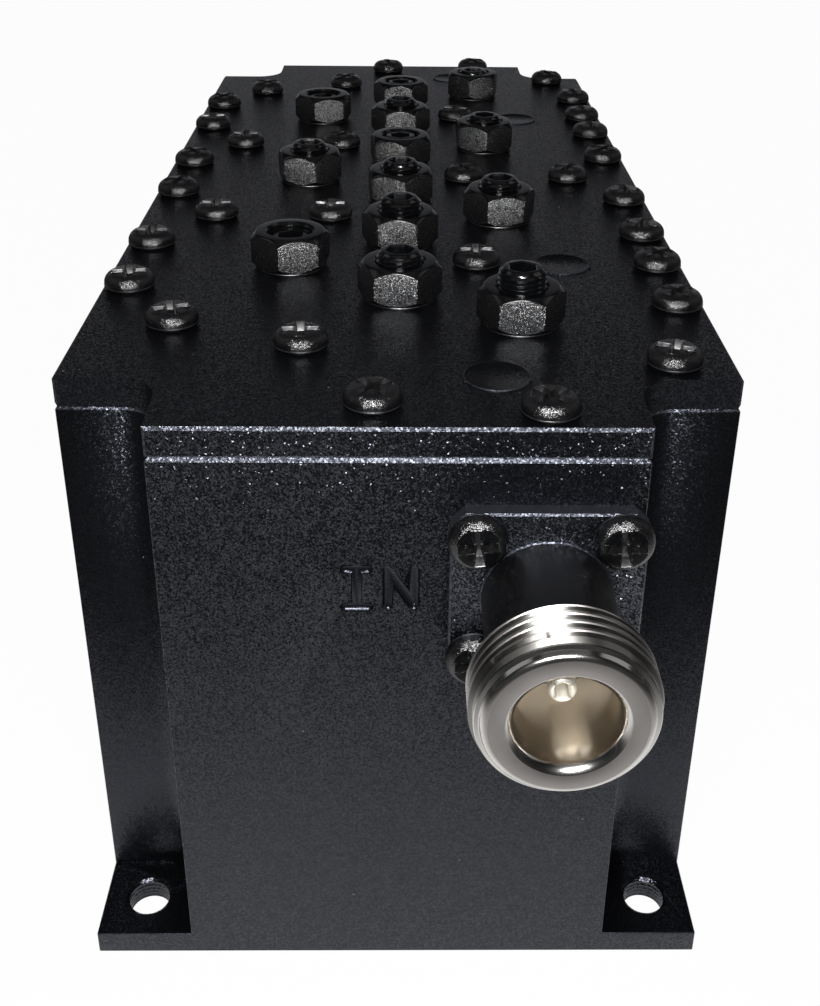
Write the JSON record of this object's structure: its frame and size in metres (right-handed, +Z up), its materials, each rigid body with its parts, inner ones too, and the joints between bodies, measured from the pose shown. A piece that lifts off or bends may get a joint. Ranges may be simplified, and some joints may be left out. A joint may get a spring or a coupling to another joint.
{
  "type": "rf bandpass filter",
  "caption": "Coaxial cavity band-pass filter: black milled box with feet, a screwed lid with locked tuning screws, and a threaded coaxial socket on each end.",
  "frame": {"origin": "middle of the base, on the surface it stands on", "axes": "+Z up through the lid, -Y out of the input end, +X to the right seen from the input end"},
  "size_m": [0.0636, 0.1798, 0.0694],
  "materials": {
    "black_paint": "fine textured black paint on aluminium",
    "black_screws": "glossy black steel",
    "black_nuts": "glossy black steel",
    "steel_screws": "plain steel",
    "silver_plate": "silver plated",
    "nickel": "bright nickel plate, flange and neck painted black",
    "white_insulator": "white insulator",
    "contact_plate": "plated contact"
  },
  "bodies": {
    "filter_body": {"housing": "black_paint", "lid": "black_paint", "lid_screws": "black_screws", "lid_plugs": "black_paint", "resonator_1": "silver_plate", "resonator_2": "silver_plate", "resonator_3": "silver_plate", "resonator_4": "silver_plate", "resonator_5": "silver_plate", "resonator_6": "silver_plate", "resonator_7": "silver_plate", "resonator_screws": "steel_screws", "resonator_lock_nuts": "black_nuts", "coupling_lock_nuts": "black_nuts", "input_connector_body": "nickel", "input_insulator": "white_insulator", "input_contact": "contact_plate", "input_coupling_disc": "contact_plate", "input_flange_screws": "black_screws", "output_connector_body": "nickel", "output_insulator": "white_insulator", "output_contact": "contact_plate", "output_coupling_disc": "contact_plate", "output_flange_screws": "black_screws"},
    "resonator_tuning_screw_1": {"resonator_tuning_screw_1": "black_nuts"},
    "resonator_tuning_screw_2": {"resonator_tuning_screw_2": "black_nuts"},
    "resonator_tuning_screw_3": {"resonator_tuning_screw_3": "black_nuts"},
    "resonator_tuning_screw_4": {"resonator_tuning_screw_4": "black_nuts"},
    "resonator_tuning_screw_5": {"resonator_tuning_screw_5": "black_nuts"},
    "resonator_tuning_screw_6": {"resonator_tuning_screw_6": "black_nuts"},
    "resonator_tuning_screw_7": {"resonator_tuning_screw_7": "black_nuts"},
    "coupling_tuning_screw_1": {"coupling_tuning_screw_1": "black_nuts"},
    "coupling_tuning_screw_2": {"coupling_tuning_screw_2": "black_nuts"},
    "coupling_tuning_screw_3": {"coupling_tuning_screw_3": "black_nuts"},
    "coupling_tuning_screw_4": {"coupling_tuning_screw_4": "black_nuts"},
    "coupling_tuning_screw_5": {"coupling_tuning_screw_5": "black_nuts"},
    "coupling_tuning_screw_6": {"coupling_tuning_screw_6": "black_nuts"}
  },
  "joints": [
    {"name": "resonator_tuning_screw_1_travel", "type": "slide", "parent": "filter_body", "child": "resonator_tuning_screw_1", "axis": [0, 0, 1], "range_m": [-0.0049, 0.0041]},
    {"name": "resonator_tuning_screw_2_travel", "type": "slide", "parent": "filter_body", "child": "resonator_tuning_screw_2", "axis": [0, 0, 1], "range_m": [-0.0024, 0.0066]},
    {"name": "resonator_tuning_screw_3_travel", "type": "slide", "parent": "filter_body", "child": "resonator_tuning_screw_3", "axis": [0, 0, 1], "range_m": [-0.0042, 0.0048]},
    {"name": "resonator_tuning_screw_4_travel", "type": "slide", "parent": "filter_body", "child": "resonator_tuning_screw_4", "axis": [0, 0, 1], "range_m": [-0.004, 0.005]},
    {"name": "resonator_tuning_screw_5_travel", "type": "slide", "parent": "filter_body", "child": "resonator_tuning_screw_5", "axis": [0, 0, 1], "range_m": [-0.0038, 0.0052]},
    {"name": "resonator_tuning_screw_6_travel", "type": "slide", "parent": "filter_body", "child": "resonator_tuning_screw_6", "axis": [0, 0, 1], "range_m": [-0.0026, 0.0064]},
    {"name": "resonator_tuning_screw_7_travel", "type": "slide", "parent": "filter_body", "child": "resonator_tuning_screw_7", "axis": [0, 0, 1], "range_m": [-0.0033, 0.0057]},
    {"name": "coupling_tuning_screw_1_travel", "type": "slide", "parent": "filter_body", "child": "coupling_tuning_screw_1", "axis": [0, 0, 1], "range_m": [-0.0041, 0.0049]},
    {"name": "coupling_tuning_screw_2_travel", "type": "slide", "parent": "filter_body", "child": "coupling_tuning_screw_2", "axis": [0, 0, 1], "range_m": [-0.0045, 0.0045]},
    {"name": "coupling_tuning_screw_3_travel", "type": "slide", "parent": "filter_body", "child": "coupling_tuning_screw_3", "axis": [0, 0, 1], "range_m": [-0.004, 0.005]},
    {"name": "coupling_tuning_screw_4_travel", "type": "slide", "parent": "filter_body", "child": "coupling_tuning_screw_4", "axis": [0, 0, 1], "range_m": [-0.0028, 0.0062]},
    {"name": "coupling_tuning_screw_5_travel", "type": "slide", "parent": "filter_body", "child": "coupling_tuning_screw_5", "axis": [0, 0, 1], "range_m": [-0.004, 0.005]},
    {"name": "coupling_tuning_screw_6_travel", "type": "slide", "parent": "filter_body", "child": "coupling_tuning_screw_6", "axis": [0, 0, 1], "range_m": [-0.0028, 0.0062]}
  ]
}
